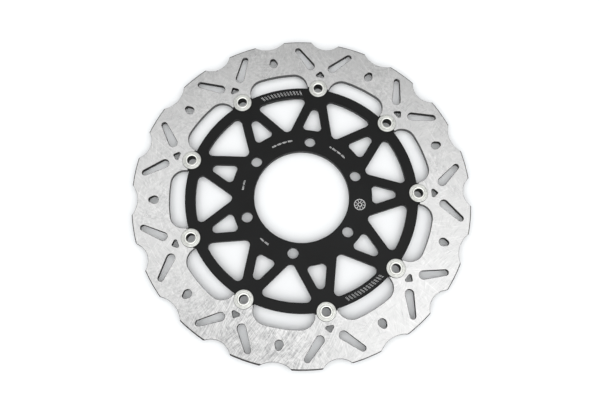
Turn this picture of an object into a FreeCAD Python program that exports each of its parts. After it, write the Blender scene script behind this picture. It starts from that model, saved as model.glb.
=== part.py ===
import FreeCAD, Part
import math
import os

# Floating motorcycle front brake disc with a wave-cut rim.
# A steel friction ring hangs on a dark alloy carrier by nine steel bobbins,
# each held from behind by a flat washer, a wave washer and a circlip.
# Sizes are in millimetres. The disc lies flat with its axis on Z, and z = 0
# is the face of the carrier that sits against the wheel hub.

# ---- layout ---------------------------------------------------------------
BOBBINS = 9
SECTOR = 360.0 / BOBBINS
FIRST_BOBBIN = 90.0         # direction of bobbin 1, and of one bolt hole
BOBBIN_CIRCLE_R = 110.5

# ---- heights --------------------------------------------------------------
HUB_STEP = 1.0              # hub ring stands this far behind the plate
PLATE_T = 5.0               # friction ring and carrier plate, flush in front
BACK_Z = HUB_STEP
FRONT_Z = BACK_Z + PLATE_T
EDGE_BREAK = 0.3            # small chamfer along the plate edges

# ---- friction ring --------------------------------------------------------
RING_R = 160.0
CREST_ROUND = 1.0           # corner between a crest and a scallop
DEEP_SCALLOP_FLOOR_R = 153.1        # in line with a bobbin
DEEP_SCALLOP_ARC = 18.0
SHALLOW_SCALLOP_FLOOR_R = 154.4     # midway between two bobbins
SHALLOW_SCALLOP_ARC = 24.2
GAP_R = 124.7               # outer edge of the long gaps behind the ring
GAP_CORNER_R = 13.25        # their corners, which also shape the lug sides
GAP_CORNER_DEG = 12.28      # direction of each gap corner from its bobbin
LUG_TIP_R = 111.5
SEAT_R = 6.3                # half-round seats for the bobbin shank

# openings by their rounded corners: (degrees from the feature line, distance
# from the axis, corner radius), listed counter-clockwise
SLOT = [(-4.65, 134.4, 4.0), (-9.71, 150.6, 2.75)]
MIRRORED_SLOT = [(-degrees, radius, size) for degrees, radius, size in SLOT]
PICK = [(-1.1, 124.8, 1.5), (0.0, 127.8, 1.25), (1.1, 124.8, 1.5)]
EGG = [(0.0, 138.6, 3.85), (0.0, 141.3, 2.75)]

# ---- carrier --------------------------------------------------------------
CARRIER_R = 110.0
EAR_R = 110.8               # low rise of the rim on both sides of a bobbin
EAR_HALF_W = 10.3
RIM_INNER_R = 100.2
SPOKE_LEAN = 17.0           # degrees away from the bobbin line
SPOKE_OFFSET = 29.2         # from the disc axis to the spoke's inner side
SPOKE_W = 8.5
SMALL_TOP_ROUND = 4.3
SMALL_BASE_ROUND = 4.0
LARGE_RIM_ROUND = 4.5
LARGE_TIP_ROUND = 4.7
HUB_RING_R = 66.6           # foot of the small windows
HUB_FACE_R = 62.0
HUB_PLATE_T = HUB_STEP + PLATE_T / 2        # reaches into the web, so both fuse
HUB_BORE_R = 45.0
BOLTS = 6
BOLT_CIRCLE_R = 55.0
BOLT_HOLE_R = 5.25

# ---- bobbin, measured from the underside of its flange --------------------
BORE_R = 4.35
LIP_DROP = 0.9              # the collar has a rolled lip, lower at both sides
COLLAR_R = 6.0
COLLAR_H = 1.9
DISH_R = 7.0                # shallow groove around the collar
DISH_H = 0.9
FLANGE_R = 9.0
FLANGE_H = 1.5
FLANGE_BREAK = 0.35
SHANK_R = 6.25
CLIP_SEAT_R = 5.5
TAIL_L = 0.9
TAIL_BREAK = 0.3

# ---- washers and circlip --------------------------------------------------
FLAT_R = 9.0
FLAT_HOLE_R = 6.33
FLAT_T = 1.0
FLAT_BREAK = 0.15
WAVE_R = 8.5
WAVE_HOLE_R = 6.5
WAVE_T = 0.4
WAVE_H = 1.2                # over the waves, as fitted
WAVES = 3
POINTS_PER_WAVE = 8
CLIP_T = 1.0
CLIP_SLACK = 0.05           # the groove is this much longer at each side
CLIP_HOLE_R = 5.55
CLIP_R = 7.4
CLIP_GAP_DEG = 40.0
CLIP_EYE_AT_R = 7.2
CLIP_EYE_R = 1.3
CLIP_EYE_HOLE_R = 0.6

WAVE_TOP_Z = -PLATE_T - FLAT_T
CLIP_TOP_Z = WAVE_TOP_Z - WAVE_H
CLIP_BOTTOM_Z = CLIP_TOP_Z - CLIP_T
TAIL_Z = CLIP_BOTTOM_Z - CLIP_SLACK - TAIL_L

AXIS = FreeCAD.Vector(0, 0, 0)
UP = FreeCAD.Vector(0, 0, 1)
NEAR = 0.001                # lengths closer than this count as equal


def sin_of(degrees):
    return math.sin(math.radians(degrees))


def polar(radius, degrees, height=0.0):
    """Point at a radius from the axis, turned counter-clockwise from +X."""
    angle = math.radians(degrees)
    return FreeCAD.Vector(radius * math.cos(angle), radius * math.sin(angle), height)


def heading(vector):
    return math.degrees(math.atan2(vector.y, vector.x))


def line(start, end):
    return Part.LineSegment(start, end).toShape()


def arc(centre, start, end, turn=1):
    """Arc about a centre, with turn 1 counter-clockwise or -1 clockwise."""
    first = heading(start - centre)
    sweep = turn * (heading(end - centre) - first) % 360.0
    via = centre + polar((start - centre).Length, first + turn * sweep / 2)
    return Part.Arc(start, via, end).toShape()


def half_angle(circle_r, centre_r, size):
    """Degrees from a circle's own direction to where it crosses circle_r."""
    cosine = (circle_r**2 + centre_r**2 - size**2) / (2 * circle_r * centre_r)
    return math.degrees(math.acos(cosine))


def side_ends(corner_a, corner_b, bow):
    """Tangent points of the side from one rounded corner to the next. bow is None
    for a straight side, else the radius of an arc about the disc axis."""
    (centre_a, size_a), (centre_b, size_b) = corner_a, corner_b
    if bow:
        return [polar(bow, heading(centre)) for centre in (centre_a, centre_b)]
    run = centre_b - centre_a
    aim = heading(run) - math.degrees(math.acos((size_a - size_b) / run.Length))
    return [centre_a + polar(size_a, aim), centre_b + polar(size_b, aim)]


def opening(corners, line_deg, bows=None):
    """Outline of an opening around its rounded corners. bows names the bowed
    sides: {corner index: radius of the side that follows it}."""
    bows = bows or {}
    count = len(corners)
    rounds = [(polar(radius, line_deg + degrees), size) for degrees, radius, size in corners]
    sides = [side_ends(rounds[i], rounds[(i + 1) % count], bows.get(i)) for i in range(count)]
    edges = []
    for i in range(count):
        start, end = sides[i]
        edges.append(arc(rounds[i][0], sides[i - 1][1], start))
        if i in bows:
            edges.append(arc(AXIS, start, end, math.copysign(1, start.cross(end).z)))
        else:
            edges.append(line(start, end))
    return Part.Wire(edges)


def circle(radius, centre=AXIS):
    return Part.Wire(Part.Circle(centre, UP, radius).toShape())


def plate(outline, holes, bottom, thickness):
    """Flat plate of an outline with holes, standing on the height bottom."""
    face = Part.makeFace([outline] + holes, "Part::FaceMakerBullseye")
    face.translate(UP * bottom)
    return face.extrude(UP * thickness)


def is_level(edge):
    return edge.BoundBox.ZLength < NEAR


def break_edges(solid, size):
    """Chamfer every edge that borders the plate's front or back face."""
    return solid.makeChamfer(size, [edge for edge in solid.Edges if is_level(edge)])


def save(shape, name):
    shape.exportStep(os.path.join("parts", name + ".step"))


# ---- friction ring --------------------------------------------------------
def scalloped_rim():
    """Outer outline: crests on RING_R with two kinds of scallop in turn."""
    deep = (DEEP_SCALLOP_FLOOR_R + DEEP_SCALLOP_ARC, DEEP_SCALLOP_ARC)
    shallow = (SHALLOW_SCALLOP_FLOOR_R + SHALLOW_SCALLOP_ARC, SHALLOW_SCALLOP_ARC)
    edges = []
    for i in range(2 * BOBBINS):
        here, following = (deep, shallow) if i % 2 == 0 else (shallow, deep)
        line_deg = FIRST_BOBBIN + i * SECTOR / 2
        half = half_angle(RING_R, *here)
        next_half = half_angle(RING_R, *following)
        start = polar(RING_R, line_deg - half)
        end = polar(RING_R, line_deg + half)
        crest_end = polar(RING_R, line_deg + SECTOR / 2 - next_half)
        edges.append(arc(polar(here[0], line_deg), start, end, -1))
        edges.append(arc(AXIS, end, crest_end))
    return Part.Wire(edges)


def lugged_opening():
    """Inner outline of the ring: long gaps with a seated lug at each bobbin."""
    corner_at = GAP_R - GAP_CORNER_R
    tip_deg = GAP_CORNER_DEG - half_angle(LUG_TIP_R, corner_at, GAP_CORNER_R)
    seat_deg = half_angle(LUG_TIP_R, BOBBIN_CIRCLE_R, SEAT_R)
    edges = []
    for i in range(BOBBINS):
        mid = FIRST_BOBBIN + i * SECTOR
        gap = [polar(GAP_R, mid + side * GAP_CORNER_DEG) for side in (-1, 1)]
        tip = [polar(LUG_TIP_R, mid + side * tip_deg) for side in (-1, 1)]
        seat = [polar(LUG_TIP_R, mid + side * seat_deg) for side in (-1, 1)]
        edges.append(arc(polar(corner_at, mid - GAP_CORNER_DEG), gap[0], tip[0]))
        edges.append(arc(AXIS, tip[0], seat[0]))
        edges.append(arc(polar(BOBBIN_CIRCLE_R, mid), seat[0], seat[1]))
        edges.append(arc(AXIS, seat[1], tip[1]))
        edges.append(arc(polar(corner_at, mid + GAP_CORNER_DEG), tip[1], gap[1]))
        edges.append(arc(AXIS, gap[1], polar(GAP_R, mid + SECTOR - GAP_CORNER_DEG)))
    return Part.Wire(edges)


def friction_ring():
    holes = [lugged_opening()]
    for i in range(BOBBINS):
        mid = FIRST_BOBBIN + i * SECTOR
        holes.append(opening(SLOT, mid))
        holes.append(opening(MIRRORED_SLOT, mid))
        holes.append(opening(PICK, mid))
        holes.append(opening(EGG, mid + SECTOR / 2))
    ring = plate(scalloped_rim(), holes, BACK_Z, PLATE_T)
    crest_corners = []
    for edge in ring.Edges:
        foot = edge.Vertexes[0].Point
        if not is_level(edge) and RING_R - math.hypot(foot.x, foot.y) < NEAR:
            crest_corners.append(edge)
    return break_edges(ring.makeFillet(CREST_ROUND, crest_corners), EDGE_BREAK)


# ---- carrier --------------------------------------------------------------
def eared_rim():
    """Outer outline of the carrier, with an ear and a seat at each bobbin."""
    ear_deg = math.degrees(math.asin(EAR_HALF_W / CARRIER_R))
    seat_deg = half_angle(EAR_R, BOBBIN_CIRCLE_R, SEAT_R)
    edges = []
    for i in range(BOBBINS):
        mid = FIRST_BOBBIN + i * SECTOR
        foot = [polar(CARRIER_R, mid + side * ear_deg) for side in (-1, 1)]
        ear = [polar(EAR_R, mid + side * ear_deg) for side in (-1, 1)]
        seat = [polar(EAR_R, mid + side * seat_deg) for side in (-1, 1)]
        edges.append(line(foot[0], ear[0]))
        edges.append(arc(AXIS, ear[0], seat[0]))
        edges.append(arc(polar(BOBBIN_CIRCLE_R, mid), seat[0], seat[1], -1))
        edges.append(arc(AXIS, seat[1], ear[1]))
        edges.append(line(ear[1], foot[1]))
        edges.append(arc(AXIS, foot[1], polar(CARRIER_R, mid + SECTOR - ear_deg)))
    return Part.Wire(edges)


def spoke_side_deg(offset, radius):
    """Direction, from the bobbin line, of the point at this distance from the disc
    axis on a line that leans with the spoke and passes the axis at offset."""
    return math.degrees(math.asin(offset / radius)) - SPOKE_LEAN


def small_window(mid):
    """Window between the two spokes of a pair."""
    top_r = (SPOKE_OFFSET - SMALL_TOP_ROUND) / sin_of(SPOKE_LEAN)
    base_r = HUB_RING_R + SMALL_BASE_ROUND
    base_deg = spoke_side_deg(SPOKE_OFFSET - SMALL_BASE_ROUND, base_r)
    corners = [
        (-base_deg, base_r, SMALL_BASE_ROUND),
        (0.0, top_r, SMALL_TOP_ROUND),
        (base_deg, base_r, SMALL_BASE_ROUND),
    ]
    return opening(corners, mid, {2: HUB_RING_R})


def large_window(mid):
    """Window between the spokes of two neighbouring pairs."""
    outer_side = SPOKE_OFFSET + SPOKE_W
    tip_r = (outer_side + LARGE_TIP_ROUND) / sin_of(SECTOR / 2 + SPOKE_LEAN)
    rim_r = RIM_INNER_R - LARGE_RIM_ROUND
    rim_deg = SECTOR / 2 - spoke_side_deg(outer_side + LARGE_RIM_ROUND, rim_r)
    corners = [
        (0.0, tip_r, LARGE_TIP_ROUND),
        (-rim_deg, rim_r, LARGE_RIM_ROUND),
        (rim_deg, rim_r, LARGE_RIM_ROUND),
    ]
    return opening(corners, mid + SECTOR / 2, {1: RIM_INNER_R})


def carrier():
    windows = []
    for i in range(BOBBINS):
        mid = FIRST_BOBBIN + i * SECTOR
        windows += [small_window(mid), large_window(mid)]
    bolt_centres = [polar(BOLT_CIRCLE_R, FIRST_BOBBIN + i * 360.0 / BOLTS) for i in range(BOLTS)]
    bores = [circle(HUB_BORE_R)] + [circle(BOLT_HOLE_R, centre) for centre in bolt_centres]
    web = break_edges(plate(eared_rim(), windows + bores, BACK_Z, PLATE_T), EDGE_BREAK)
    hub = break_edges(plate(circle(HUB_FACE_R), bores, 0.0, HUB_PLATE_T), EDGE_BREAK)
    return web.fuse(hub).removeSplitter()


# ---- bobbin and its stack -------------------------------------------------
def bobbin():
    groove_top = CLIP_TOP_Z + CLIP_SLACK
    groove_bottom = CLIP_BOTTOM_Z - CLIP_SLACK
    outline = [
        (COLLAR_R, COLLAR_H - LIP_DROP),
        (COLLAR_R, DISH_H),
        (DISH_R, DISH_H),
        (DISH_R, FLANGE_H),
        (FLANGE_R - FLANGE_BREAK, FLANGE_H),
        (FLANGE_R, FLANGE_H - FLANGE_BREAK),
        (FLANGE_R, 0.0),
        (SHANK_R, 0.0),
        (SHANK_R, groove_top),
        (CLIP_SEAT_R, groove_top),
        (CLIP_SEAT_R, groove_bottom),
        (SHANK_R, groove_bottom),
        (SHANK_R, TAIL_Z + TAIL_BREAK),
        (SHANK_R - TAIL_BREAK, TAIL_Z),
        (BORE_R, TAIL_Z),
        (BORE_R, COLLAR_H - LIP_DROP),
    ]
    points = [FreeCAD.Vector(radius, 0, height) for radius, height in outline]
    edges = [line(start, end) for start, end in zip(points, points[1:])]
    lip_top = FreeCAD.Vector((BORE_R + COLLAR_R) / 2, 0, COLLAR_H)
    edges.append(Part.Arc(points[-1], lip_top, points[0]).toShape())
    return Part.Face(Part.Wire(edges)).revolve(AXIS, UP, 360)


def flat_washer():
    washer = plate(circle(FLAT_R), [circle(FLAT_HOLE_R)], WAVE_TOP_Z, FLAT_T)
    return break_edges(washer, FLAT_BREAK)


def wave_edge(radius, middle_z):
    """Closed edge that rises and falls around a circle."""
    swing = (WAVE_H - WAVE_T) / 2
    steps = WAVES * POINTS_PER_WAVE
    points = []
    for i in range(steps):
        degrees = i * 360.0 / steps
        points.append(polar(radius, degrees, middle_z + swing * sin_of(90.0 + WAVES * degrees)))
    curve = Part.BSplineCurve()
    curve.interpolate(Points=points, PeriodicFlag=True)
    return curve.toShape()


def wave_washer():
    middle = WAVE_TOP_Z - WAVE_H / 2
    top, bottom = middle + WAVE_T / 2, middle - WAVE_T / 2
    rails = [
        wave_edge(WAVE_HOLE_R, bottom),
        wave_edge(WAVE_R, bottom),
        wave_edge(WAVE_R, top),
        wave_edge(WAVE_HOLE_R, top),
    ]
    faces = [Part.makeRuledSurface(rails[i - 1], rails[i]) for i in range(len(rails))]
    shell = Part.Shell(faces)
    shell.sewShape()
    return Part.Solid(shell)


def circlip():
    """Open ring with two eyes, its gap facing away from the disc axis."""
    def disc(radius, centre=AXIS):
        return Part.makeCylinder(radius, CLIP_T, centre + UP * CLIP_BOTTOM_Z)

    gap = Part.makeCylinder(CLIP_R + CLIP_EYE_R, CLIP_T, UP * CLIP_BOTTOM_Z, UP, CLIP_GAP_DEG)
    gap.rotate(AXIS, UP, -CLIP_GAP_DEG / 2)
    centres = [polar(CLIP_EYE_AT_R, side * CLIP_GAP_DEG / 2) for side in (-1, 1)]
    clip = disc(CLIP_R).cut(gap).fuse([disc(CLIP_EYE_R, centre) for centre in centres])
    holes = [disc(CLIP_HOLE_R)] + [disc(CLIP_EYE_HOLE_R, centre) for centre in centres]
    return clip.cut(holes).removeSplitter()


# ---- build ----------------------------------------------------------------
os.makedirs("parts", exist_ok=True)
save(friction_ring(), "friction_ring")
save(carrier(), "carrier")

stack = {
    "bobbin": bobbin(),
    "flat_washer": flat_washer(),
    "wave_washer": wave_washer(),
    "circlip": circlip(),
}
for i in range(BOBBINS):
    for kind, shape in stack.items():
        placed = shape.copy()
        placed.translate(FreeCAD.Vector(BOBBIN_CIRCLE_R, 0, FRONT_Z))
        placed.rotate(AXIS, UP, FIRST_BOBBIN + i * SECTOR)
        save(placed, "%s_%d" % (kind, i + 1))
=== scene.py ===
import math
import bmesh
import bpy
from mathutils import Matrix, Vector


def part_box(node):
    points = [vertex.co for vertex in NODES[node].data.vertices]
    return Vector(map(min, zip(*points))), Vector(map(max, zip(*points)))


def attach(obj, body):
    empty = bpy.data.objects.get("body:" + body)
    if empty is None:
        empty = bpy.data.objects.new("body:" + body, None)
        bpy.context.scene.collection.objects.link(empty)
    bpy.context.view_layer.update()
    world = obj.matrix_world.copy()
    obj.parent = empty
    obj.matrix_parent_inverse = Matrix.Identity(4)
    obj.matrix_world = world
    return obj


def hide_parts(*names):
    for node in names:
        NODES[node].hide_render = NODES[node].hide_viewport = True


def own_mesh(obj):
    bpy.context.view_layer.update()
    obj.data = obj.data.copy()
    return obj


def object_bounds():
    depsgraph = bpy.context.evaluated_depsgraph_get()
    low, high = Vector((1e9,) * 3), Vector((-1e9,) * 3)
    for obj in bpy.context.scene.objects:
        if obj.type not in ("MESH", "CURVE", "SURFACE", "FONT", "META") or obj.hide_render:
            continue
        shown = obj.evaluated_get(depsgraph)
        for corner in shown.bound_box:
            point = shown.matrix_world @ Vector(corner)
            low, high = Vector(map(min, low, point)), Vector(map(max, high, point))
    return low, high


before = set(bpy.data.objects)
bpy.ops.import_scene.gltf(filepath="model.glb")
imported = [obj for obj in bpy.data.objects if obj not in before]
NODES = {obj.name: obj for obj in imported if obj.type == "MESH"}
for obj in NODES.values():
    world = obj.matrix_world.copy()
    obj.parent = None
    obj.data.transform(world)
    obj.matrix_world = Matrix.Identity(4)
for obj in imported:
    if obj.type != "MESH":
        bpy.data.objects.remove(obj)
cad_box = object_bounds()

# Looks for a floating motorcycle brake disc: a ground stainless friction ring on a
# black anodised carrier, joined by turned steel bobbins. Lengths are in metres
# unless a name or a comment says millimetres.

MM = 0.001
BOBBINS = sum(name.startswith("bobbin_") for name in NODES)
FRONT_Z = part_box("carrier")[1].z
FLOOR_Z = cad_box[0].z
SHARP_DEG = 40          # edges sharper than this stay crisp


# ---- shader building ------------------------------------------------------
LAY_SPREAD_DEG = 16     # how far the patches of a shared direction turn from it


class Shader:
    """A material and short ways to add nodes to it."""

    def __init__(self, name, **sockets):
        self.material = bpy.data.materials.new(name)
        self.material.use_nodes = True
        self.tree = self.material.node_tree
        self.bsdf = self.tree.nodes["Principled BSDF"]
        for socket, value in sockets.items():
            self.bsdf.inputs[socket.replace("_", " ")].default_value = value
        self.coords = self.add("ShaderNodeTexCoord").outputs["Object"]

    def add(self, kind, **inputs):
        node = self.tree.nodes.new(kind)
        for name, value in inputs.items():
            self.feed(node.inputs[name.replace("_", " ")], value)
        return node

    def feed(self, socket, value):
        if isinstance(value, bpy.types.NodeSocket):
            self.tree.links.new(value, socket)
        else:
            socket.default_value = value

    def link(self, value, name):
        self.tree.links.new(value, self.bsdf.inputs[name])

    def maths(self, operation, a, b=0.0):
        node = self.add("ShaderNodeMath")
        node.operation = operation
        self.feed(node.inputs[0], a)
        self.feed(node.inputs[1], b)
        return node.outputs[0]

    def weigh(self, total, *terms):
        """total plus each value times its weight."""
        for value, weight in terms:
            node = self.add("ShaderNodeMath")
            node.operation = "MULTIPLY_ADD"
            for socket, number in zip(node.inputs, (value, weight, total)):
                self.feed(socket, number)
            total = node.outputs[0]
        return total

    def noise(self, scale, detail, roughness=0.55, vector=None):
        node = self.add("ShaderNodeTexNoise", Scale=scale, Detail=detail, Roughness=roughness,
                        Vector=vector or self.coords)
        return node.outputs["Fac"]

    def spread(self, value, low, high, out_low=0.0, out_high=1.0):
        """value carried from low..high to out_low..out_high, and held beyond them."""
        node = self.add("ShaderNodeMapRange")
        self.feed(node.inputs["Value"], value)
        for name, number in (("From Min", low), ("From Max", high),
                             ("To Min", out_low), ("To Max", out_high)):
            node.inputs[name].default_value = number
        return node.outputs["Result"]

    def blend(self, factor, a, b):
        node = self.add("ShaderNodeMix")
        node.data_type = "RGBA"
        self.feed(node.inputs[0], factor)
        self.feed(node.inputs[6], a)
        self.feed(node.inputs[7], b)
        return node.outputs[2]

    def vector_maths(self, operation, *inputs):
        node = self.add("ShaderNodeVectorMath")
        node.operation = operation
        for socket, value in zip(node.inputs, inputs):
            self.feed(socket, value)
        return node.outputs["Value" if operation in ("LENGTH", "DISTANCE") else "Vector"]

    def from_axis(self):
        """Distance from the object's own Z axis."""
        return self.vector_maths("LENGTH", self.vector_maths("MULTIPLY", self.coords, (1, 1, 0)))

    def scratches(self, patch, length, width, low, high, lay, seed):
        """Straight scratches in patches: 1 on a scratch, 0 off it. Each patch has a
        direction of its own, or all keep near one direction if lay gives it."""
        moved = self.vector_maths("ADD", self.coords, (seed, 2.3 * seed, 0.7 * seed))
        patches = self.add("ShaderNodeTexVoronoi", Scale=1 / patch, Vector=moved)
        pick = self.add("ShaderNodeSeparateColor", Color=patches.outputs["Color"])
        if lay is None:
            angle = self.maths("MULTIPLY", pick.outputs[0], math.tau)
        else:
            angle = self.spread(pick.outputs[0], 0.0, 1.0, math.radians(lay - LAY_SPREAD_DEG),
                                math.radians(lay + LAY_SPREAD_DEG))
        turned = self.add("ShaderNodeVectorRotate", Vector=moved, Angle=angle)
        turned.rotation_type = "Z_AXIS"
        stretched = self.vector_maths("MULTIPLY", turned.outputs[0],
                                      (1 / length, 1 / width, 1 / width))
        return self.spread(self.noise(1.0, detail=1.0, vector=stretched), low, high)

    def upright(self, level, steep):
        """0 where the normal's height is at level, 1 where it is at steep. So walls
        are 1 with steep below level, and faces that look up or down with steep above."""
        normal = self.add("ShaderNodeTexCoord").outputs["Normal"]
        apart = self.add("ShaderNodeSeparateXYZ", Vector=normal)
        return self.spread(self.maths("ABSOLUTE", apart.outputs["Z"]), level, steep)

    def bump(self, height, strength, depth):
        node = self.add("ShaderNodeBump", Strength=strength, Distance=depth, Height=height)
        return node.outputs[0]


def grey(value, warmth=0.0):
    return (value * (1 + warmth), value, value * (1 - warmth), 1.0)


def olive(value):
    return (value * 0.995, value, value * 0.955, 1.0)


# ---- materials ------------------------------------------------------------
RING_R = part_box("friction_ring")[1].y
GAP_WALL_R = 125.2 * MM     # walls inside it bound the long gaps along the carrier
SCALLOP_R = 152.7 * MM      # walls outside it bound the scallops of the rim
SHADE_BAND_W = 0.22 * MM     # painted shade along the outer edge of the front face, for the shaded wall and contact shadow
SHADE_BAND_SOLID_W = 0.10 * MM
SHADE_BAND_FRONT_EXTRA_W = 0.62 * MM  # how much wider the painted edge shade is near the front of the disc
# area near the front of the disc: real scuffs whose strong light and dark streaks are partly
# painted glints, and where the painted edge shade widens
SCUFF_GLINT_SHADE_CENTRE = (-0.020, -0.141, FRONT_Z)
SCUFF_GLINT_SHADE_REACH = (0.100, 0.030)        # none of the scuffs, painted glints and widened painted edge shade from the first distance, all within the second
CLEAN_CENTRE = (0.125, -0.060, FRONT_Z)
CLEAN_REACH = (0.12, 0.05)
# scratches of the ring: patch size, length, width, noise levels where a scratch
# begins and is full, shared direction in degrees, seed
LIGHT_SCRATCHES = (0.021, 0.012, 0.0012, 0.56, 0.74, None, 0.31)
DARK_SCRATCHES = (0.017, 0.010, 0.0011, 0.56, 0.74, None, 0.77)
FINE_SCRATCHES = (0.030, 0.010, 0.00022, 0.42, 0.72, None, 0.92)
LONG_SCRATCHES = (0.160, 0.070, 0.0012, 0.63, 0.74, 42, 0.45)
SCUFF_SCRATCHES = (0.022, 0.012, 0.0011, 0.43, 0.63, -62, 0.15)
CROSS_SCRATCHES = (0.022, 0.014, 0.0012, 0.50, 0.66, 40, 0.53)
# painted highlight on a bobbin's collar: lighter from the first distance from its axis inwards
LIP_HIGHLIGHT_R = (6.0 * MM, 5.6 * MM)


def ground_steel():
    """Ground stainless: cloudy and grainy grey, fine scratches every way, scuffs near the
    front of the disc whose strong light and dark streaks are partly painted glints, walls
    and chamfers dark as dull laser finish and painted shade, and a painted shade band
    along the outer edge of the face, widest at the front."""
    s = Shader("ground_stainless", Metallic=1.0)
    cloud = s.spread(s.noise(85.0, detail=5.0, roughness=0.6), 0.33, 0.67)
    grain = s.spread(s.noise(430.0, detail=3.0, roughness=0.65), 0.33, 0.67)
    clean = s.spread(s.vector_maths("DISTANCE", s.coords, CLEAN_CENTRE), *CLEAN_REACH)
    patchy = s.weigh(s.spread(s.noise(26.0, detail=2.0), 0.36, 0.58), (clean, -0.75))
    patchy = s.maths("MAXIMUM", patchy, 0.1)
    light = s.scratches(*LIGHT_SCRATCHES)
    dark = s.scratches(*DARK_SCRATCHES)
    fine = s.scratches(*FINE_SCRATCHES)
    long = s.scratches(*LONG_SCRATCHES)
    scuff = s.scratches(*SCUFF_SCRATCHES)
    cross = s.scratches(*CROSS_SCRATCHES)
    reach = s.spread(s.vector_maths("DISTANCE", s.coords, SCUFF_GLINT_SHADE_CENTRE), *SCUFF_GLINT_SHADE_REACH)
    # scuffs near the front: real scratches, with lighter steel between them and darker streaks
    # that partly paint the glints seen there
    scuffs_and_glints = s.maths("MULTIPLY", reach, s.weigh(-0.45, (scuff, 0.9), (cross, 0.4)))
    fleck = s.maths("MULTIPLY", patchy, s.weigh(-0.5, (grain, 1.0)))
    level = s.weigh(0.36, (cloud, 0.20), (fleck, 0.36), (light, 0.20), (dark, -0.20),
                    (long, 0.16), (fine, 0.10), (scuffs_and_glints, -0.55))
    tone = s.blend(level, grey(0.275, -0.002), grey(0.605, 0.010))
    radius = s.from_axis()
    # painted shade: a dark band along the outer edge of the face, standing in for the shaded
    # outer wall and the contact shadow beyond it, wider near the front of the disc
    painted_shade_band = s.spread(s.weigh(radius, (reach, SHADE_BAND_FRONT_EXTRA_W)),
                           RING_R - SHADE_BAND_W, RING_R - SHADE_BAND_SOLID_W)
    painted_shade_band = s.maths("MULTIPLY", painted_shade_band, s.upright(0.4, 0.6))
    # walls and chamfers painted dark, partly as the dull finish the laser leaves and partly as
    # painted shade inside the openings: 0.13 along the long gaps, 0.05 in the other openings,
    # 0.17 in the scallops
    wall = s.maths("MAXIMUM", s.upright(0.9, 0.75), painted_shade_band)
    cut_and_shade_tone = s.blend(s.spread(radius, GAP_WALL_R, GAP_WALL_R + MM), grey(0.13), grey(0.05, 0.02))
    cut_and_shade_tone = s.blend(s.spread(radius, SCALLOP_R, SCALLOP_R + 0.5 * MM), cut_and_shade_tone, grey(0.17, 0.01))
    # the painted edge shade band in near black
    cut_and_shade_tone = s.blend(painted_shade_band, cut_and_shade_tone, grey(0.05, 0.02))
    s.link(s.blend(wall, tone, cut_and_shade_tone), "Base Color")
    s.link(s.weigh(0.27, (cloud, 0.05), (wall, 0.3)), "Roughness")
    relief = s.weigh(0.0, (light, 0.5), (long, 0.5), (fine, 0.3), (scuffs_and_glints, -1.0), (fleck, 0.5))
    s.link(s.bump(relief, 0.5, 0.012 * MM), "Normal")
    return s.material


def anodised():
    """Black anodised alloy: matte, with a faint bloom and a fine blasted grain."""
    s = Shader("black_anodised", Specular_IOR_Level=0.17)
    cloud = s.noise(30.0, detail=4.0)
    grain = s.noise(2600.0, detail=2.0)
    tone = s.blend(s.spread(cloud, 0.35, 0.65), grey(0.0030, -0.02), grey(0.0045, -0.03))
    s.link(tone, "Base Color")
    s.link(s.spread(grain, 0.3, 0.7, 0.42, 0.56), "Roughness")
    s.link(s.bump(grain, 0.25, 0.01 * MM), "Normal")
    return s.material


def turned_steel():
    """Turned stainless of the bobbins: fine tool rings, a painted highlight on the lip, and steep
    faces painted dark as shade.
    """
    s = Shader("turned_stainless", Metallic=1.0)
    radius = s.from_axis()
    outwards = s.add("ShaderNodeCombineXYZ", X=radius).outputs[0]
    rings = s.noise(4200.0, detail=2.0, vector=outwards)
    cloud = s.spread(s.noise(240.0, detail=4.0), 0.35, 0.65)
    speck = s.spread(s.noise(1300.0, detail=1.0), 0.60, 0.72)
    tone = s.blend(cloud, olive(0.54), olive(0.66))
    tone = s.blend(s.maths("MULTIPLY", speck, 0.35), tone, olive(0.30))
    # painted highlight on the collar's lip
    tone = s.blend(s.spread(radius, *LIP_HIGHLIGHT_R, 0.0, 0.75), tone, olive(0.86))
    # painted shade: steep faces near black, for the shade in the bore, in the groove and along
    # the edge of the flange
    wall = s.upright(0.64, 0.52)
    s.link(s.blend(wall, tone, olive(0.07)), "Base Color")
    rough = s.maths("ADD", s.spread(rings, 0.3, 0.7, 0.42, 0.54), s.maths("MULTIPLY", wall, 0.2))
    s.link(rough, "Roughness")
    s.link(s.bump(rings, 0.4, 0.012 * MM), "Normal")
    return s.material


def dull_steel(name, tone_low, tone_high, warmth, rough):
    """Plated or oiled steel of the small pieces behind the disc."""
    s = Shader(name, Metallic=1.0)
    cloud = s.noise(260.0, detail=4.0)
    tone = s.blend(s.spread(cloud, 0.35, 0.65), grey(tone_low, warmth), grey(tone_high, warmth))
    s.link(tone, "Base Color")
    s.link(s.spread(cloud, 0.3, 0.7, rough, rough + 0.12), "Roughness")
    s.link(s.bump(s.noise(1400.0, detail=2.0), 0.3, 0.02 * MM), "Normal")
    return s.material


def laser_mark():
    """Pale etched marking, broken up by the grain beneath."""
    s = Shader("laser_etch", Specular_IOR_Level=0.3)
    grain = s.noise(2400.0, detail=2.0)
    s.link(s.blend(s.spread(grain, 0.36, 0.60), grey(0.20), grey(0.72)), "Base Color")
    s.link(s.spread(grain, 0.3, 0.7, 0.5, 0.7), "Roughness")
    return s.material


def floor_paper():
    """Plain white paper under the disc."""
    s = Shader("studio_paper", Specular_IOR_Level=0.1, Roughness=0.9)
    grain = s.noise(900.0, detail=3.0)
    s.link(s.blend(grain, grey(0.86, -0.008), grey(0.89, -0.008)), "Base Color")
    return s.material


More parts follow.
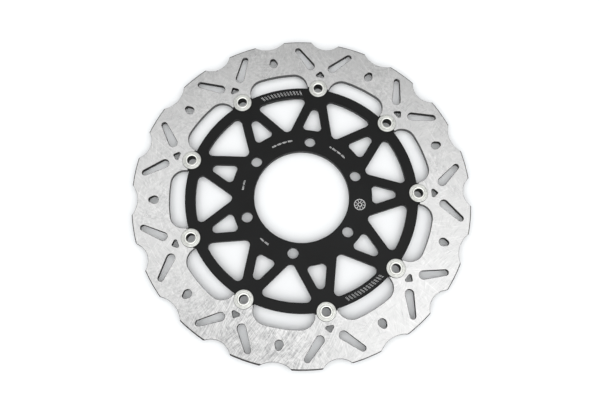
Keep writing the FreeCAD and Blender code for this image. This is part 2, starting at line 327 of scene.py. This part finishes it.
# ---- meshes ---------------------------------------------------------------
def new_piece(name, verts, faces, material, body, slot, centre=(0, 0, 0)):
    """Object of a closed mesh that rides on a body of the part."""
    mesh = bpy.data.meshes.new(name)
    mesh.from_pydata(verts, [], faces)
    mesh.materials.append(material)
    shape = bmesh.new()
    shape.from_mesh(mesh)
    bmesh.ops.recalc_face_normals(shape, faces=shape.faces)
    shape.to_mesh(mesh)
    shape.free()
    mesh.shade_smooth()
    mesh.set_sharp_from_angle(angle=math.radians(SHARP_DEG))
    piece = bpy.data.objects.new(name, mesh)
    piece.location = centre
    bpy.context.collection.objects.link(piece)
    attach(piece, body)
    return piece


def rounded(corners, steps=5):
    """Closed profile of (radius, height, setback) corners, each with setback eased
    into a curve."""
    points = []
    for i, (radius, height, setback) in enumerate(corners):
        here = Vector((radius, height))
        if not setback:
            points.append(here)
            continue
        before = (Vector(corners[i - 1][:2]) - here).normalized() * setback
        after = (Vector(corners[(i + 1) % len(corners)][:2]) - here).normalized() * setback
        for k in range(steps + 1):
            t = k / steps
            points.append(here + before * (1 - t)**2 + after * t**2)
    return points


def lathe(profile, segments, lift=None):
    """Closed ring-shaped skin of a profile in mm turned about Z. lift(angle) raises
    the section as it goes round."""
    verts, faces = [], []
    count = len(profile)
    for i in range(segments):
        angle = math.tau * i / segments
        rise = lift(angle) if lift else 0.0
        for radius, height in profile:
            verts.append((radius * MM * math.cos(angle), radius * MM * math.sin(angle),
                          (height + rise) * MM))
        for j in range(count):
            here, there = i * count, (i + 1) % segments * count
            faces.append((here + j, there + j, there + (j + 1) % count, here + (j + 1) % count))
    return verts, faces


def slab(outline, bottom, top):
    """Thin closed plate over a convex outline of (x, y) points."""
    count = len(outline)
    verts = [(x, y, z) for z in (bottom, top) for x, y in outline]
    faces = [tuple(reversed(range(count))), tuple(range(count, 2 * count))]
    faces += [(i, (i + 1) % count, count + (i + 1) % count, count + i) for i in range(count)]
    return verts, faces


def join(parts):
    """One mesh of several (verts, faces) pairs."""
    verts, faces = [], []
    for more_verts, more_faces in parts:
        faces += [tuple(index + len(verts) for index in face) for face in more_faces]
        verts += more_verts
    return verts, faces


def polar(radius, degrees):
    """Point in mm at a radius, turned counter-clockwise from +X."""
    angle = math.radians(degrees)
    return radius * math.cos(angle), radius * math.sin(angle)


# ---- bobbins --------------------------------------------------------------
# corners of the section in mm from the bobbin's seat on the ring, with setbacks
BOBBIN_SECTION = [
    (4.35, -9.15, 0.0),
    (4.35, 1.62, 0.06),
    (4.86, 1.90, 0.30),
    (5.50, 1.90, 0.32),
    (6.04, 1.20, 0.14),
    (6.36, 1.20, 0.10),
    (6.58, 1.50, 0.10),
    (7.50, 1.48, 0.08),
    (7.62, 1.28, 0.05),
    (7.78, 1.28, 0.05),
    (7.90, 1.47, 0.08),
    (8.60, 1.38, 0.08),
    (9.00, 0.80, 0.08),
    (9.00, 0.00, 0.06),
    (6.25, 0.00, 0.0),
    (6.25, -7.15, 0.06),
    (5.50, -7.15, 0.0),
    (5.50, -8.25, 0.0),
    (6.25, -8.25, 0.06),
    (6.25, -8.80, 0.16),
    (5.90, -9.15, 0.10),
]


BOBBIN_SEGMENTS = 128


def make_bobbin(index, material):
    node = "bobbin_%d" % index
    low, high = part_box(node)
    centre = ((low.x + high.x) / 2, (low.y + high.y) / 2, FRONT_Z)
    verts, faces = lathe(rounded(BOBBIN_SECTION), BOBBIN_SEGMENTS)
    piece = new_piece("bobbin_turned_%d" % index, verts, faces, material, node, "bobbin_steel",
                      centre)
    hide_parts(node)


# ---- wave washers ---------------------------------------------------------
WAVE_SECTION = [(6.5, -0.2, 0.07), (8.5, -0.2, 0.07), (8.5, 0.2, 0.07), (6.5, 0.2, 0.07)]
WAVE_CORNER_STEPS = 3
WAVE_SEGMENTS = 96
WAVES = 3
WAVE_SWING = 0.4        # mm up and down from the middle


def make_wave_washer(index, material):
    node = "wave_washer_%d" % index
    low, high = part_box(node)
    centre = ((low.x + high.x) / 2, (low.y + high.y) / 2, (low.z + high.z) / 2)
    turn = math.atan2(centre[1], centre[0])
    verts, faces = lathe(rounded(WAVE_SECTION, WAVE_CORNER_STEPS), WAVE_SEGMENTS,
                         lambda angle: WAVE_SWING * math.cos(WAVES * (angle - turn)))
    piece = new_piece("wave_spring_%d" % index, verts, faces, material, "bobbin_%d" % index,
                      "spring_steel", centre)
    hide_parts(node)
    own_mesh(piece)


# ---- etched marks on the carrier ------------------------------------------
MARK_BOTTOM = FRONT_Z - 0.02 * MM
MARK_TOP = FRONT_Z + 0.03 * MM
MARK_T = (MARK_TOP - MARK_BOTTOM) / MM


def bar(radius, degrees, long, wide, slant):
    """One stroke centred on a polar point, long in the radial direction but for
    its slant in degrees. Lengths in mm."""
    x, y = polar(radius, degrees)
    angle = math.radians(degrees + slant)
    out = Vector((math.cos(angle), math.sin(angle)))
    side = Vector((-math.sin(angle), math.cos(angle)))
    corners = [Vector((x, y)) + out * a * long / 2 + side * b * wide / 2
               for a, b in ((-1, -1), (1, -1), (1, 1), (-1, 1))]
    return slab([corner * MM for corner in corners], MARK_BOTTOM, MARK_TOP)


def band(centre, inner, outer):
    """Flat etched circle line around a point, in mm."""
    profile = [(inner, 0.0), (outer, 0.0), (outer, MARK_T), (inner, MARK_T)]
    verts, faces = lathe(profile, CIRCLE_SEGMENTS)
    return [(x + centre[0] * MM, y + centre[1] * MM, z + MARK_BOTTOM) for x, y, z in verts], faces


# rim: direction of the first bar of each row, then how the paired bars repeat
RIM_ROWS = (98.7, -58.5)
RIM_MARK_R = 105.0
RIM_PAIRS = 13
RIM_PAIR_DEG = 1.70
RIM_TWIN_DEG = 0.52
RIM_BAR = (4.6, 0.26, 24)           # length and width in mm, slant in degrees


def rim_marks():
    """Two rows of slanted double bars on the rim."""
    strokes = []
    for first in RIM_ROWS:
        for k in range(RIM_PAIRS):
            at = first + RIM_PAIR_DEG * k
            strokes.append(bar(RIM_MARK_R, at, *RIM_BAR))
            strokes.append(bar(RIM_MARK_R, at + RIM_TWIN_DEG, *RIM_BAR))
    return join(strokes)


# hub ring: direction of the first tick and number of ticks of each row
HUB_ROWS = ((108.2, 16), (51.5, 14), (173.0, 8), (235.5, 8))
HUB_MARK_R = 55.9
TICK_DEG = 1.15
TICK_GROUP = 4
TICK_GROUP_GAP_DEG = 0.9
TICK_L, FIRST_TICK_L, TICK_W, TICK_SLANT = 1.7, 1.2, 0.62, 12


def hub_marks():
    """Four short rows of ticks on the hub ring, in groups of up to four with a
    shorter first tick."""
    strokes = []
    for first, count in HUB_ROWS:
        for k in range(count):
            at = first + TICK_DEG * k + TICK_GROUP_GAP_DEG * (k // TICK_GROUP)
            length = TICK_L if k % TICK_GROUP else FIRST_TICK_L
            strokes.append(bar(HUB_MARK_R, at, length, TICK_W, TICK_SLANT))
    return join(strokes)


# round mark on the hub ring: inner and outer radius of its circles, then its rays
ROUND_MARK_AT = (55.3, 0.0)
CIRCLES = ((4.7, 5.4), (1.4, 2.1))
CIRCLE_SEGMENTS = 48
RAYS = 9
RAY_R = 3.5
RAY_L, RAY_W = 1.9, 0.55


def round_mark():
    """Target of two circles and nine rays between two bolt holes."""
    at = polar(*ROUND_MARK_AT)
    parts = [band(at, inner, outer) for inner, outer in CIRCLES]
    for k in range(RAYS):
        toward = 360.0 / RAYS * k
        x, y = polar(RAY_R, toward)
        radius = math.hypot(x + at[0], y + at[1])
        degrees = math.degrees(math.atan2(y + at[1], x + at[0]))
        parts.append(bar(radius, degrees, RAY_L, RAY_W, toward - degrees))
    return join(parts)


# ---- dressing -------------------------------------------------------------
node_materials = {
    "friction_ring": ground_steel(),
    "carrier": anodised(),
    "flat_washer": dull_steel("zinc_plate", 0.50, 0.62, warmth=0.01, rough=0.35),
    "circlip": dull_steel("black_oxide", 0.10, 0.16, warmth=0.02, rough=0.38),
}
turned = turned_steel()
spring = dull_steel("spring_steel", 0.22, 0.30, warmth=0.02, rough=0.30)
for node in NODES:
    kind = node.rstrip("0123456789").rstrip("_")
    for slot in NODES[node].material_slots:
        slot.material = node_materials.get(kind, turned)
for index in range(1, BOBBINS + 1):
    make_bobbin(index, turned)
    make_wave_washer(index, spring)
etch = laser_mark()
for name, skin in (("rim_marks", rim_marks()), ("hub_marks", hub_marks()),
                   ("round_mark", round_mark())):
    new_piece(name, *skin, etch, "carrier", "carrier_alloy")


# ---- studio ---------------------------------------------------------------
FLOOR_HALF = 8.0
LIGHT_COLOUR = (0.990, 0.997, 1.0, 1)
TENT_BASE = 0.03
# lights of the tent: where each aims, as its lean to +X and +Y per unit of height,
# the angles in degrees from that aim at which it starts and is full, and strength
TENT_PATCHES = [
    (0.054, -0.288, 56.7, 19.7, 2.58),      # large light above the near side
    (-0.106, -0.076, 17.2, 0.0, -1.70),     # dim spot within it
    (0.0, 0.0, 38.0, 68.0, 0.66),           # walls all round
    (0.0, 0.0, 76.0, 88.0, 0.30),           # their foot
]
LENS = 40.705           # mm
SENSOR_W = 36.0         # mm
CAMERA_AT = (0.01624, -0.16684, 0.62387)
CAMERA_TURN_DEG = (14.826, -0.625, 8.414)


def stage_plane(name, half, height, material):
    """Square floor that isn't part of the object."""
    mesh = bpy.data.meshes.new(name)
    corners = [(x * half, y * half, height) for x, y in ((-1, -1), (1, -1), (1, 1), (-1, 1))]
    mesh.from_pydata(corners, [], [(0, 1, 2, 3)])
    mesh.materials.append(material)
    plane = bpy.data.objects.new(name, mesh)
    bpy.context.collection.objects.link(plane)


def light_tent():
    """World light: the sum of TENT_BASE and the soft lights of TENT_PATCHES."""
    world = bpy.data.worlds.new("light_tent")
    world.use_nodes = True
    tree = world.node_tree
    background = tree.nodes["Background"]
    background.inputs["Color"].default_value = LIGHT_COLOUR
    direction = tree.nodes.new("ShaderNodeTexCoord").outputs["Generated"]
    total = None
    for lean_x, lean_y, starts, full, strength in TENT_PATCHES:
        aim = Vector((lean_x, lean_y, 1)).normalized()
        dot = tree.nodes.new("ShaderNodeVectorMath")
        dot.operation = "DOT_PRODUCT"
        tree.links.new(direction, dot.inputs[0])
        dot.inputs[1].default_value = aim
        fall = tree.nodes.new("ShaderNodeMapRange")
        fall.interpolation_type = "SMOOTHSTEP"
        tree.links.new(dot.outputs["Value"], fall.inputs["Value"])
        fall.inputs["From Min"].default_value = math.cos(math.radians(starts))
        fall.inputs["From Max"].default_value = math.cos(math.radians(full))
        fall.inputs["To Min"].default_value = 0.0
        fall.inputs["To Max"].default_value = strength
        add = tree.nodes.new("ShaderNodeMath")
        add.operation = "ADD"
        if total is None:
            add.inputs[0].default_value = TENT_BASE
        else:
            tree.links.new(total, add.inputs[0])
        tree.links.new(fall.outputs["Result"], add.inputs[1])
        total = add.outputs[0]
    tree.links.new(total, background.inputs["Strength"])
    bpy.context.scene.world = world


stage_plane("floor", FLOOR_HALF, FLOOR_Z, floor_paper())
light_tent()

camera_data = bpy.data.cameras.new("camera")
camera_data.lens = LENS
camera_data.sensor_width = SENSOR_W
camera_data.clip_start = 0.01
camera = bpy.data.objects.new("camera", camera_data)
camera.location = CAMERA_AT
camera.rotation_euler = [math.radians(turn) for turn in CAMERA_TURN_DEG]
bpy.context.collection.objects.link(camera)
bpy.context.scene.camera = camera
bpy.context.scene.view_settings.view_transform = "Standard"
